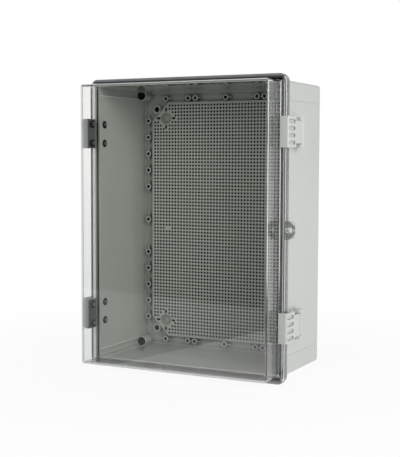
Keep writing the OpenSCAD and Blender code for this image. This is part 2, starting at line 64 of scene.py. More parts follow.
# A gap too small to see: places that are nearer count as one
TOUCH = 0.1 * MM
ENDS = ("upper", "lower")
BLACK = (0.0, 0.0, 0.0, 1.0)
SEEN_RAYS = ("Is Camera Ray", "Is Glossy Ray", "Is Transmission Ray")
# Besides the clear window, these finishes paint light: the darker tints paint shade seen through the flange,
# skirt, ends and latch side, and the frosted edge finish paints highlights along edges
COVER_FINISHES = (
    "window plastic", "shaded edge plastic", "highlight edge plastic",
    "thin wall plastic", "dark edge plastic", "latch wall shade plastic",
)
CLEAR, SHADED, HIGHLIGHT, THIN, DARK, SHADED_WALL = range(len(COVER_FINISHES))


def length(name, description, millimetres):
    """A length property whose default is given in millimetres."""
    return FloatProperty(
        name=name, description=description, default=millimetres * MM, min=0.0, unit="LENGTH", precision=4
    )


def colour(name, description, value):
    """A colour property with linear values."""
    return FloatVectorProperty(
        name=name, description=description, default=(*value, 1.0), size=4, min=0.0, max=1.0, subtype="COLOR"
    )


def share(name, description, value, top=1.0):
    """A plain number from nothing to a top value."""
    return FloatProperty(name=name, description=description, default=value, min=0.0, max=top, precision=4)


def spot(name, description, value):
    """A point in metres."""
    return FloatVectorProperty(
        name=name, description=description, default=value, subtype="TRANSLATION", unit="LENGTH", precision=4
    )


def power(name, description, watts):
    """The power of a lamp."""
    return FloatProperty(name=name, description=description, default=watts, min=0.0, unit="POWER")


class CaseSizes(PropertyGroup):
    """Places on the case where its finish paints shade and highlights."""

    wall_margin: length("Wall margin", "Distance of the inner walls outside the wall screws", 5.5)
    back_skin: length("Back skin", "Depth of the case's outer back face", 2.0)
    # Painted shade: crevices darken in the colour from this distance inward
    wall_shade: length("Wall shade", "Distance from the inner walls where crevices start to darken", 3.0)
    # Painted shade: the post's mouth is coloured dark
    post_mouth: length("Post mouth", "Radius of the dark mouth of a wall screw's post", 6.7)
    post_depth: length("Post depth", "Depth of the front of the wall screws' posts", 24.3)
    post_lip: length("Post lip", "Depth of the round lip at the front of a wall screw's post", 0.8)
    # Painted highlight: the channel's lip is coloured pale
    channel_lip: length("Channel lip", "Width of the pale lip along a wall screw's channel", 1.2)
    # Painted shade: the boss's mouth is coloured dark
    boss_mouth: length("Boss mouth", "Radius of the dark mouth of an equipment boss", 4.15)
    boss_depth: length("Boss depth", "Depth of the floor of an equipment boss's mouth", 9.6)
    # Painted highlight: edges inside the case are coloured pale within this radius
    pale_edge: length("Pale edge", "Radius around which the inside's edges look pale", 1.8)


class CoverSizes(PropertyGroup):
    """Sizes of the clear cover."""

    window_inset: length("Window inset", "Distance of the window's sides inside the flange's edge", 9.0)
    flange_depth: length("Flange depth", "Depth of the flange's front in front of the back plane", 141.0)
    flange_thickness: length("Flange thickness", "Thickness of the flange", 3.0)
    skirt_thickness: length("Skirt thickness", "Thickness of the skirt under the flange", 2.2)
    wall: length("Wall", "Wall thickness of the window", 3.0)
    window_corner: length("Window corner", "Radius of the window's upright corners", 4.0)
    flange_corner: length("Flange corner", "Radius of the flange's corners", 11.0)
    front_edge: length("Front edge", "Rounding of the window's front edge", 0.8)
    flange_edge: length("Flange edge", "Rounding of the flange's outer edge", 1.0)
    skirt_edge: length("Skirt edge", "Rounding of the skirt's edges and the inner edges", 0.4)
    least_corner: length("Least corner", "Smallest radius of an upright corner", 0.3)
    # Painted highlight: the frosted strip along the front edge is coloured whitish
    worn_edge: length("Worn edge", "Width of the worn strip along the window's front edge", 1.1)
    # Painted shade: the strip along the flange's hinge side takes a darker tint
    dark_edge: length("Dark edge", "Width of the dark strip along the flange's hinge side", 4.0)
    foot_fillet: length("Foot fillet", "Fillet between the window and the flange", 0.9)
    # Painted shade: the line along the window's foot takes a dark tint
    foot_line: length("Foot line", "Width of the dark line along the foot of the window's latch side", 0.8)
    rib_offset: length("Rib offset", "Distance of the sealing rib's middle outside the window's sides", 2.1)
    rib_width: length("Rib width", "Width of the sealing rib", 2.2)
    rib_depth: length("Rib depth", "Depth of the sealing rib's end in front of the back plane", 133.85)
    ear_height: length("Ear height", "Height of the padlock ear", 24.4)
    ear_thickness: length("Ear thickness", "Thickness of the padlock ear", 5.0)
    ear_corner: length("Ear corner", "Radius of the ear's outer corners", 9.0)
    hole_radius: length("Hole radius", "Radius of the padlock hole", 4.2)
    hole_relief: length("Hole relief", "Extra radius of the scallop at the flange's edge", 0.3)
    hole_ring: length("Hole ring", "Width of the ring outside the padlock hole", 2.0)


class PlateSizes(PropertyGroup):
    """Sizes of the perforated mounting plate."""

    pitch: length("Pitch", "Distance between the holes of the grid", 5.0)
    hole_radius: length("Hole radius", "Radius of the holes of the grid", 1.68)
    margin: length("Margin", "Distance of the outer holes from the plate's edge", 5.0)
    thickness: length("Thickness", "Thickness of the plate", 3.0)
    edge: length("Edge", "Chamfer of the plate's outline", 0.4)
    corner_cut: length("Corner cut", "Length of the cut at each corner", 28.04)
    dish_inset: length("Dish inset", "Distance of the dished feet from the plate's edges", 24.0)
    dish_radius: length("Dish radius", "Radius of the dish in each foot", 8.5)
    dish_wall: length("Dish wall", "Wall thickness of each foot", 1.5)
    slot_offset: length("Slot offset", "Distance of the slots from the middle of a foot", 13.0)
    slot_length: length("Slot length", "Length of the slots around a foot", 5.5)
    slot_width: length("Slot width", "Width of the slots around a foot", 3.0)
    dish_lip: length("Dish lip", "Rounding of the lip of each dish", 0.5)
    dish_bowl: length("Dish bowl", "Rounding between the wall and the floor of each dish", 2.6)
    hole_floor: length("Hole floor", "Thickness of the plate left behind each hole", 0.4)
    hole_sides: IntProperty(name="Hole sides", description="Sides of each hole", default=8, min=6, max=24)


class FinishColours(PropertyGroup):
    """Colours of the finishes."""

    housing: colour("Housing", "Light grey plastic of the case", (0.600, 0.630, 0.600))
    fittings: colour("Fittings", "Light grey plastic of the latches", (0.620, 0.640, 0.618))
    # Painted shade: the hinges' light grey plastic, darkened for the shade they stand in
    hinges: colour("Hinges", "Grey plastic of the hinges", (0.470, 0.488, 0.500))
    plate: colour("Plate", "Grey plastic of the mounting plate", (0.640, 0.670, 0.632))
    # Painted shade: the plate's plastic, darker inside the dished feet
    dish: colour("Dish", "Duller plastic inside the plate's dished feet", (0.600, 0.630, 0.592))
    holes: colour("Holes", "Deep shade inside the plate's holes", (0.006, 0.006, 0.006))
    cover: colour("Cover", "Tint of the clear cover", (0.985, 0.988, 0.975))
    # Painted shade: the window's latch side is tinted darker
    latch_wall: colour("Latch wall", "Tint of the window's latch side", (0.800, 0.810, 0.820))
    # Painted shade: the window's hinge side is tinted darker towards the bottom
    wall_low: colour("Wall low", "Tint of the window's hinge side near the bottom", (0.760, 0.785, 0.800))
    # Painted highlight: the frosted strips along the window's edges are coloured whitish
    cover_rim: colour("Cover rim", "Frosted shade of the window's worn front edge", (0.860, 0.865, 0.870))
    # Painted shade: the cover's upright edges are tinted darker
    cover_edge: colour("Cover edge", "Smoky tint of the cover's upright edges", (0.500, 0.502, 0.515))
    # Painted shade: the cover's ends and the foot line are tinted dark
    cover_ends: colour("Cover ends", "Dark tint of the cover's ends and foot line", (0.200, 0.202, 0.212))
    cover_light: colour("Cover light", "Colour of lamp light behind the cover", (0.780, 0.784, 0.768))
    rubber: colour("Rubber", "Black rubber of the gasket and seals", (0.006, 0.006, 0.007))
    steel: colour("Steel", "Plated steel of the pins and the latches' screws", (0.740, 0.740, 0.750))
    dark_steel: colour("Dark steel", "Darkened steel of the hinges' screws", (0.360, 0.360, 0.365))
    cover_index: share("Cover index", "Index of refraction of the cover", 1.58, 2.0)
    wall_index: share("Wall index", "Index of refraction of the window's hinge side", 1.06, 2.0)
    edge_round: length("Edge round", "Rounding of the moulded edges", 0.5)
    lever_round: length("Lever round", "Rounding of the latch levers' edges", 1.0)
    pin_round: length("Pin round", "Rounding of the pins' ends", 0.3)
    screw_round: length("Screw round", "Rounding of the screws' edges", 0.2)
    seal_round: length("Seal round", "Rounding of the rubber seals' edges", 0.25)


class StudioSetup(PropertyGroup):
    """Camera, lamps and backdrop."""

    camera_place: spot("Camera place", "Where the camera stands", (0.6459, -1.3625, 0.0935))
    camera_turn: FloatVectorProperty(
        name="Camera turn", description="How the camera is turned",
        default=(math.radians(86.04), math.radians(-0.19), math.radians(26.96)), subtype="EULER",
    )
    camera_lens: FloatProperty(
        name="Camera lens", description="Focal length of the camera in millimetres", default=79.98, min=10.0,
        unit="CAMERA",
    )
    backdrop: colour("Backdrop", "Colour of the floor and backdrop", (1.0, 1.0, 1.0))
    sky: share("Sky", "Strength of the even light from all sides", 0.50, 4.0)
    lamp_target: spot("Lamp target", "Where the lamps point", (0.0, -0.1, 0.0))
    key_place: spot("Key place", "Where the key lamp hangs", (1.95, -1.20, 0.75))
    key_size: length("Key size", "Side of the key lamp", 1100.0)
    key_power: power("Key power", "Power of the key lamp in watts", 28.0)
    fill_place: spot("Fill place", "Where the fill lamp hangs", (-0.6, -2.2, 1.2))
    fill_size: length("Fill size", "Side of the fill lamp", 1200.0)
    fill_power: power("Fill power", "Power of the fill lamp in watts", 5.0)
    shadow_share: share("Shadow share", "How much of the floor's colour shows lamp light", 0.07)
    shadow_middle: spot("Shadow middle", "Where the floor shows the most lamp light", (0.0, -0.07, -0.2))
    shadow_near: length("Shadow near", "Distance where the floor's lamp light starts to fade", 120.0)
    shadow_far: length("Shadow far", "Distance where the floor's lamp light is gone", 750.0)
    dark_card: share("Dark card", "Shade of the card that the window's front mirrors", 0.002)
    grey_card: share("Grey card", "Shade of the card that the window's lower part mirrors", 0.36)


class JunctionBoxSettings(PropertyGroup):
    """All sizes and colours of the junction box."""

    case: PointerProperty(type=CaseSizes, name="Case", description="Places on the case")
    cover: PointerProperty(type=CoverSizes, name="Cover", description="Sizes of the clear cover")
    plate: PointerProperty(type=PlateSizes, name="Plate", description="Sizes of the mounting plate")
    colours: PointerProperty(type=FinishColours, name="Colours", description="Colours of the finishes")
    studio: PointerProperty(type=StudioSetup, name="Studio", description="Camera, lamps and backdrop")


class Value:
    """A shader socket that Python arithmetic extends with Math nodes."""

    def __init__(self, finish, socket):
        self.finish = finish
        self.socket = socket

    def math(self, operation, first, second):
        """The result of a Math node on two values."""
        return self.finish.add("ShaderNodeMath", {"operation": operation}, {0: first, 1: second})

    def __add__(self, other):
        return self.math("ADD", self, other)

    def __sub__(self, other):
        return self.math("SUBTRACT", self, other)

    def __rsub__(self, other):
        return self.math("SUBTRACT", other, self)

    def __mul__(self, other):
        return self.math("MULTIPLY", self, other)

    def __pow__(self, other):
        return self.math("POWER", self, other)

    def __lt__(self, other):
        return self.math("LESS_THAN", self, other)

    def __gt__(self, other):
        return self.math("GREATER_THAN", self, other)

    def __abs__(self):
        return self.finish.add("ShaderNodeMath", {"operation": "ABSOLUTE"}, {0: self})

    __radd__, __rmul__ = __add__, __mul__


class Finish:
    """The node tree of a material or a world while it is being made."""

    def __init__(self, owner):
        owner.use_nodes = True
        self.owner = owner
        self.tree = owner.node_tree
        self.tree.nodes.clear()

    def add(self, kind, settings=None, sockets=None, output=0):
        """Adds a node, sets its settings, then its sockets, and returns one of its outputs."""
        node = self.tree.nodes.new(kind)
        for key, value in (settings or {}).items():
            setattr(node, key, value)
        for key, value in (sockets or {}).items():
            if isinstance(value, Value):
                self.tree.links.new(value.socket, node.inputs[key])
            else:
                node.inputs[key].default_value = value
        return Value(self, node.outputs[output]) if node.outputs else None

    def place(self):
        """Points in the object's own space."""
        return self.add("ShaderNodeTexCoord", output="Object")

    def axes(self, place, names):
        """Chosen coordinates of points."""
        return [self.add("ShaderNodeSeparateXYZ", None, {"Vector": place}, output=name) for name in names]

    def noise(self, place, scale, detail):
        """Soft random values."""
        return self.add("ShaderNodeTexNoise", None, {"Vector": place, "Scale": scale, "Detail": detail})

    def ramp(self, value, start, end, first=0.0, last=1.0, kind="LINEAR"):
        """Values that go from a first to a last one over a span, and hold outside it."""
        return self.add(
            "ShaderNodeMapRange", {"interpolation_type": kind},
            {"Value": value, "From Min": start, "From Max": end, "To Min": first, "To Max": last},
        )

    def rays(self, *names):
        """What is known about a ray, by its names."""
        return [self.add("ShaderNodeLightPath", output=name) for name in names]

    def bump(self, height, strength, distance):
        """Normals that follow a fine relief."""
        sockets = {"Height": height, "Strength": strength, "Distance": distance}
        return self.add("ShaderNodeBump", None, sockets)

    def blend(self, mask, first, second):
        """Mixes two colours by a mask."""
        return self.add("ShaderNodeMix", {"data_type": "RGBA"}, {0: mask, 6: first, 7: second}, output=2)

    def either(self, mask, first, second):
        """Mixes two shaders by a mask."""
        return self.add("ShaderNodeMixShader", None, {0: mask, 1: first, 2: second})

    def surface(self, shader):
        """Makes a shader the one that is shown, and returns the material or world."""
        kind = "World" if isinstance(self.owner, bpy.types.World) else "Material"
        self.add("ShaderNodeOutput" + kind, None, {"Surface": shader})
        return self.owner

    def principled(self, sockets):
        """A Principled shader."""
        return self.add("ShaderNodeBsdfPrincipled", None, sockets)


def new_finish(name):
    """A material whose nodes are yet to be made."""
    return Finish(bpy.data.materials.new(name))


def scaled(value, factor):
    """A colour made lighter or darker."""
    return (value[0] * factor, value[1] * factor, value[2] * factor, 1.0)


def case_hollow(finish, place):
    """Masks of the case's inside, the space off its walls, its mouths painted dark as shade, its channels and
    their lips painted pale as a highlight.
    """
    sizes = bpy.context.scene.junction_box.case
    mounts = {mount["name"]: mount["dims"] for mount in frame["record"]["mounts"]}
    x, y, z = finish.axes(place, "XYZ")
    depth = 0.0 - y

    def beyond(mount):
        """How far a point lies outside a pattern's screws, across and along."""
        dims = mounts[mount]
        return abs(x) - dims["spacing_x_mm"] * MM / 2, abs(z) - dims["spacing_y_mm"] * MM / 2

    def within(mount, radius):
        """Where a point is nearer than a radius to one of a pattern's screws."""
        across, along = beyond(mount)
        return across * across + along * along < radius ** 2

    across, along = beyond("wall_holes")
    channel = within("wall_holes", sizes.post_mouth)
    lip = within("wall_holes", sizes.post_mouth + sizes.channel_lip) - channel
    within_back = depth > sizes.back_skin
    inside = (across < sizes.wall_margin) * (along < sizes.wall_margin) * within_back
    posts = channel * (depth < sizes.post_depth) * within_back
    bosses = within("equipment_bosses", sizes.boss_mouth) * (depth < sizes.boss_depth) * within_back
    clear = sizes.wall_margin - sizes.wall_shade
    amid = (across < clear) * (along < clear) * inside
    front = (depth > sizes.post_depth - sizes.post_lip) * inside
    return inside, amid, posts + bosses, channel * front, lip * front


def standing_edges(finish, radius, open_sky):
    """A mask of edges that stick out, where a rounded normal leans away from the true one, for a painted
    highlight.
    """
    lean_gain, least_open, full_open = 14.0, 0.5, 0.8
    rounded = finish.add("ShaderNodeBevel", {"samples": 6}, {"Radius": radius})
    normal = finish.add("ShaderNodeNewGeometry", output="Normal")
    agreement = finish.add(
        "ShaderNodeVectorMath", {"operation": "DOT_PRODUCT"}, {0: rounded, 1: normal}, output="Value"
    )
    return (1.0 - agreement) * lean_gain * finish.ramp(open_sky, least_open, full_open)


def moulded_plastic(
    name, base, roughness, grain_size, grain_strength, crevice, deep=0.06, alone=True, hollow=None
):
    """Grey plastic with soft shade changes, flow marks, a fine satin grain, painted highlights on standing
    edges and painted shade in crevices.
    """
    cloud_scale, flow_stretch, flow_share, shade_spread = 11.0, (60.0, 8.0, 60.0), 0.3, 0.045
    cloud_wear, grain_wear, relief, crevice_power = 0.10, 0.08, 0.25, 1.2
    finish = new_finish(name)
    place = finish.place()
    cloud = finish.noise(place, cloud_scale, 3.0)
    flow_place = finish.add("ShaderNodeMapping", None, {"Vector": place, "Scale": flow_stretch})
    flow = finish.noise(flow_place, 1.0, 2.0)
    grain = finish.noise(place, 1.0 / grain_size, 2.0)
    marks = cloud * (1.0 - flow_share) + flow * flow_share
    shade = finish.blend(marks, scaled(base, 1.0 - shade_spread), scaled(base, 1.0 + shade_spread))
    rough = roughness - (cloud_wear + grain_wear) / 2 + cloud * cloud_wear + grain * grain_wear
    # Painted shade: ambient occlusion darkens the colour in crevices, corners and where parts meet
    open_sky = finish.add(
        "ShaderNodeAmbientOcclusion", {"samples": 8, "only_local": alone}, {"Distance": crevice}, output="AO"
    ) ** crevice_power
    painted_shade = 1.0 - open_sky
    if hollow:
        highlight_lift, lip_highlight, gloss, mouth_wear, mouth_shade = 1.5, 0.5, 0.21, 0.6, 0.006
        outer_share, inner_share, channel_share = 0.25, 0.6, 0.12
        pit_start, pit_full = 0.30, 0.16
        inside, amid, shaded_mouths, channel, lip = hollow(finish, place)
        radius = bpy.context.scene.junction_box.case.pale_edge
        # Painted highlight: edges that stick out and the lips of the wall screws' channels are lightened in
        # the colour
        edge = standing_edges(finish, radius, open_sky) * inside + lip * lip_highlight
        shade = finish.blend(edge, shade, scaled(base, highlight_lift))
        rough = rough - inside * gloss + shaded_mouths * mouth_wear
        # Painted shade: weak outside, stronger amid the inside, and some along the wall screws' channels
        painted_shade = painted_shade * (outer_share + amid * inner_share) + channel * channel_share
        # Painted shade: pits that ambient occlusion finds deep, such as boss holes, go near black
        shaded_mouths = shaded_mouths + finish.ramp(open_sky, pit_start, pit_full) * amid
    shade = finish.blend(painted_shade, shade, scaled(base, deep))
    if hollow:
        # Painted shade: the mouths of the posts and bosses are coloured near black
        shade = finish.blend(shaded_mouths, shade, scaled(base, mouth_shade))
    bump = finish.bump(grain, grain_strength, grain_size * relief)
    return finish.surface(finish.principled(
        {"Base Color": shade, "Roughness": rough, "Normal": bump, "IOR": 1.49}
    ))


def patchy(name, base, patches, shades, dullness, relief=None, fixed=None):
    """A finish with soft patches of shade and dullness, and a fine relief where one is given."""
    finish = new_finish(name)
    place = finish.place()
    patch = finish.noise(place, *patches)
    dark, light = (scaled(base, factor) for factor in shades)
    least, spread = dullness
    sockets = {"Base Color": finish.blend(patch, dark, light), "Roughness": least + patch * spread}
    sockets.update(fixed or {})
    if relief:
        scale, strength, depth = relief
        sockets["Normal"] = finish.bump(finish.noise(place, scale, 1.0), strength, depth)
    return finish.surface(finish.principled(sockets))


def hole_shade(name, base):
    """The dull inside of small punched holes, coloured near black as painted shade so that it returns hardly
    any light.
    """
    return patchy(
        name, base, patches=(300.0, 2.0), shades=(0.7, 1.5), dullness=(0.85, 0.15),
        fixed={"Specular IOR Level": 0.05},
    )


def black_rubber(name, base):
    """Matt rubber with faint dusty patches and fine pores."""
    return patchy(
        name, base, patches=(90.0, 4.0), shades=(0.8, 1.9), dullness=(0.52, 0.3),
        relief=(2600.0, 0.25, 0.05 * MM),
    )


def plated_steel(name, base):
    """Plated steel with turning marks and dull spots."""
    return patchy(
        name, base, patches=(420.0, 3.0), shades=(0.82, 1.12), dullness=(0.36, 0.22),
        relief=(5200.0, 0.15, 0.03 * MM), fixed={"Metallic": 1.0},
    )


def clear_plastic(name, tint, low_shade, index, lamp_light, roughness=0.0):
    """Clear plastic that bends the view a little, blends to a second colour low down, which paints shade
    where it is darker, and lets the lamps through.
    """
    high, low = 0.12, -0.20
    wave_scale, wave_strength, wave_depth = 7.0, 0.02, 1.0 * MM
    finish = new_finish(name)
    place = finish.place()
    bump = finish.bump(finish.noise(place, wave_scale, 1.0), wave_strength, wave_depth)
    height, = finish.axes(place, "Z")
    glass = finish.principled({
        "Base Color": finish.blend(finish.ramp(height, high, low), tint, low_shade), "Roughness": roughness,
        "IOR": index, "Transmission Weight": 1.0, "Normal": bump,
    })
    clear = finish.add("ShaderNodeBsdfTransparent", None, {"Color": lamp_light})
    soft_ray, lamp_ray = finish.rays("Is Diffuse Ray", "Is Shadow Ray")
    return finish.surface(finish.either(lamp_ray, finish.either(soft_ray, glass, clear), clear))


def frosted_plastic(name, base):
    """Frosted clear plastic whose whitish colour paints highlights along edges, fading low on the latch side,
    with a painted glow on the hinge side.
    """
    latch_side, hinge_side = 0.12, -0.1415
    highlight_fade_start, highlight_fade_full, highlight_fade_end, highlight_fade_share = -0.05, -0.09, -0.19, 0.85
    haze_scale, shade_spread, least_rough, rough_spread = 60.0, 0.06, 0.22, 0.15
    least_cover, cover_spread, glow = 0.75, 0.2, 0.22
    scratch_scale, scratch_strength, scratch_depth = 3400.0, 0.1, 0.05 * MM
    finish = new_finish(name)
    place = finish.place()
    haze = finish.noise(place, haze_scale, 3.0)
    scratches = finish.noise(place, scratch_scale, 1.0)
    shade = finish.blend(haze, scaled(base, 1.0 - shade_spread), scaled(base, 1.0 + shade_spread))
    across, height = finish.axes(place, "XZ")
    # Painted highlight fades out low on the latch side
    fade = finish.ramp(height, highlight_fade_start, highlight_fade_full, last=highlight_fade_share)
    highlight_faded = fade * (across > latch_side) * (height > highlight_fade_end)
    return finish.surface(finish.principled({
        "Base Color": shade, "Roughness": least_rough + haze * rough_spread,
        "Alpha": (least_cover + haze * cover_spread) * (1.0 - highlight_faded),
        "Normal": finish.bump(scratches, scratch_strength, scratch_depth),
        # Painted glow: the hinge-side strip gives off light though it is no lamp
        "Emission Color": finish.blend(across < hinge_side, BLACK, shade), "Emission Strength": glow,
    }))


def new_piece(name, vertices, faces, material):
    """A mesh object in the scene, with its faces turned outward."""
    mesh = bpy.data.meshes.new(name)
    mesh.from_pydata(vertices, [], faces)
    shape = bmesh.new()
    shape.from_mesh(mesh)
    bmesh.ops.recalc_face_normals(shape, faces=shape.faces)
    shape.to_mesh(mesh)
    shape.free()
    mesh.materials.append(material)
    piece = bpy.data.objects.new(name, mesh)
    bpy.context.scene.collection.objects.link(piece)
    return piece


def settle(piece, body, node):
    """Makes a piece ride a body and hides the solid that it stands for."""
    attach(piece, body)
    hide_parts(node)


def keep_flat(piece):
    """Weighs the shading so that flat faces stay flat."""
    weighted = piece.modifiers.new("Flat faces", "WEIGHTED_NORMAL")
    weighted.keep_sharp = True
    weighted.weight = 90


def smooth(piece, angle):
    """Smooth shading with sharp edges and flat faces kept."""
    piece.data.shade_smooth()
    piece.data.set_sharp_from_angle(angle=math.radians(angle))
    keep_flat(piece)


def dress_node(node, material, width=0.0, segments=2):
    """Gives a solid its finish and rounds its moulded edges."""
    piece = frame["nodes"][node]
    piece.data.materials.clear()
    piece.data.materials.append(bpy.data.materials[material])
    if width > 0.0:
        weld = piece.modifiers.new("Weld", "WELD")
        weld.merge_threshold = 0.001 * MM
        flat = piece.modifiers.new("Flat", "DECIMATE")
        flat.decimate_type = "DISSOLVE"
        flat.angle_limit = math.radians(0.5)
        edges = piece.modifiers.new("Edges", "BEVEL")
        edges.limit_method = "ANGLE"
        edges.angle_limit = math.radians(38.0)
        edges.width = width
        edges.segments = segments
        edges.use_clamp_overlap = True
        keep_flat(piece)


def quarter_turn(centre, radius, start, steps=5):
    """Points of a quarter circle from a start angle in degrees, clockwise where the radius is negative."""
    sweep = 90.0 if radius > 0 else -90.0
    points = []
    for step in range(steps + 1):
        angle = math.radians(start + sweep * step / steps)
        points.append((centre[0] + abs(radius) * math.cos(angle), centre[1] + abs(radius) * math.sin(angle)))
    return points


def ring(half_x, half_z, radius, depth, steps=10):
    """Points along a rectangle with round corners, at a depth in front of the back plane."""
    points = []
    for quarter, (side, end) in enumerate(((1, 1), (-1, 1), (-1, -1), (1, -1))):
        centre = side * (half_x - radius), end * (half_z - radius)
        points += quarter_turn(centre, radius, 90.0 * quarter, steps)
    return [(x, -depth, z) for x, z in points]


def skin(rings):
    """Vertices and faces of a closed skin over rings that have the same number of points."""
    count = len(rings[0])
    vertices = [point for one in rings for point in one]
    faces = []
    for row in range(0, len(vertices) - count, count):
        for k in range(count):
            after = (k + 1) % count
            faces.append((row + k, row + after, row + count + after, row + count + k))
    faces.append(tuple(range(count)))
    faces.append(tuple(range(len(vertices) - count, len(vertices))))
    return vertices, faces


def prism(name, outline, rear, front):
    """A closed prism over an outline in X and Z, between two depths."""
    vertices, faces = skin([[(x, -depth, z) for x, z in outline] for depth in (rear, front)])
    return new_piece(name, vertices, faces, None)


def circle(x, z, radius, sides):
    """Points of a circle in X and Z, with a flat at each side."""
    angles = [2 * math.pi * (k + 0.5) / sides for k in range(sides)]
    return [(x + radius * math.cos(angle), z + radius * math.sin(angle)) for angle in angles]


def carve(piece, tools):
    """Joins tools to a piece or cuts them out of it, and removes them."""
    for operation, tool in tools:
        cut = piece.modifiers.new(operation, "BOOLEAN")
        cut.operation = operation
        cut.solver = "EXACT"
        cut.object = tool
    bpy.context.view_layer.update()
    made = piece.evaluated_get(bpy.context.evaluated_depsgraph_get())
    mesh = bpy.data.meshes.new_from_object(made)
    piece.modifiers.clear()
    piece.data = mesh
    for _, tool in tools:
        bpy.data.objects.remove(tool)


class Step:
    """What the building steps share."""

    bl_options = {"REGISTER", "UNDO"}


class JUNCTION_BOX_OT_finishes(Step, Operator):
    """Make the finishes of the junction box"""

    bl_idname = "junction_box.finishes"
    bl_label = "Finishes"

    def execute(self, context):
        colours = context.scene.junction_box.colours
        # Each plastic's crevice and deep settings set how far its painted crevice shade reaches and how dark
        # it gets
        moulded_plastic(
            "case plastic", colours.housing, roughness=0.30, grain_size=0.9 * MM, grain_strength=0.05,
            crevice=9.0 * MM, alone=False, hollow=case_hollow,
        )
        moulded_plastic(
            "latch plastic", colours.fittings, roughness=0.30, grain_size=0.7 * MM, grain_strength=0.04,
            crevice=3.0 * MM, deep=0.30,
        )
        # Painted shade: the hinges' plastic is a darker copy, with contact shade where it meets the cover
        moulded_plastic(
            "shaded hinge plastic", colours.hinges, roughness=0.36, grain_size=0.7 * MM, grain_strength=0.06,
            crevice=1.2 * MM, deep=0.40, alone=False,
        )
        plate_grain = {"roughness": 0.42, "grain_size": 1.1 * MM, "grain_strength": 0.08}
        moulded_plastic("plate plastic", colours.plate, crevice=4.0 * MM, **plate_grain)
        # Painted shade: the dishes take a darker copy of the plate's plastic with strong crevice shade
        moulded_plastic("plate dish shade plastic", colours.dish, crevice=7.0 * MM, deep=0.02, **plate_grain)
        hole_shade("plate hole plastic", colours.holes)
        black_rubber("gasket rubber", colours.rubber)
        plated_steel("screw steel", colours.steel)
        plated_steel("dark screw steel", colours.dark_steel)
        for name, tint, haze in (
            # Painted shade: the edge, end and latch-side tints darken what is seen through the cover
            ("window plastic", colours.cover, 0.0),
            ("latch wall shade plastic", colours.latch_wall, 0.0),
            ("shaded edge plastic", colours.cover_edge, 0.10),
            ("dark edge plastic", colours.cover_ends, 0.10),
        ):
            clear_plastic(name, tint, tint, colours.cover_index, colours.cover_light, haze)
        # Painted shade: the hinge side's thin wall darkens towards the bottom
        clear_plastic("thin wall plastic", colours.cover, colours.wall_low, colours.wall_index, colours.cover)
        # Painted highlight: frosted strips along the cover's edges, with a painted glow on the hinge side
        frosted_plastic("highlight edge plastic", colours.cover_rim)
        return {"FINISHED"}


class JUNCTION_BOX_OT_case(Step, Operator):
    """Dress the case with its rim, bosses and padlock lug"""

    bl_idname = "junction_box.case"
    bl_label = "Case"

    def execute(self, context):
        colours = context.scene.junction_box.colours
        dress_node("base_tub", "case plastic", colours.edge_round)
        dress_node("gasket", "gasket rubber")
        return {"FINISHED"}


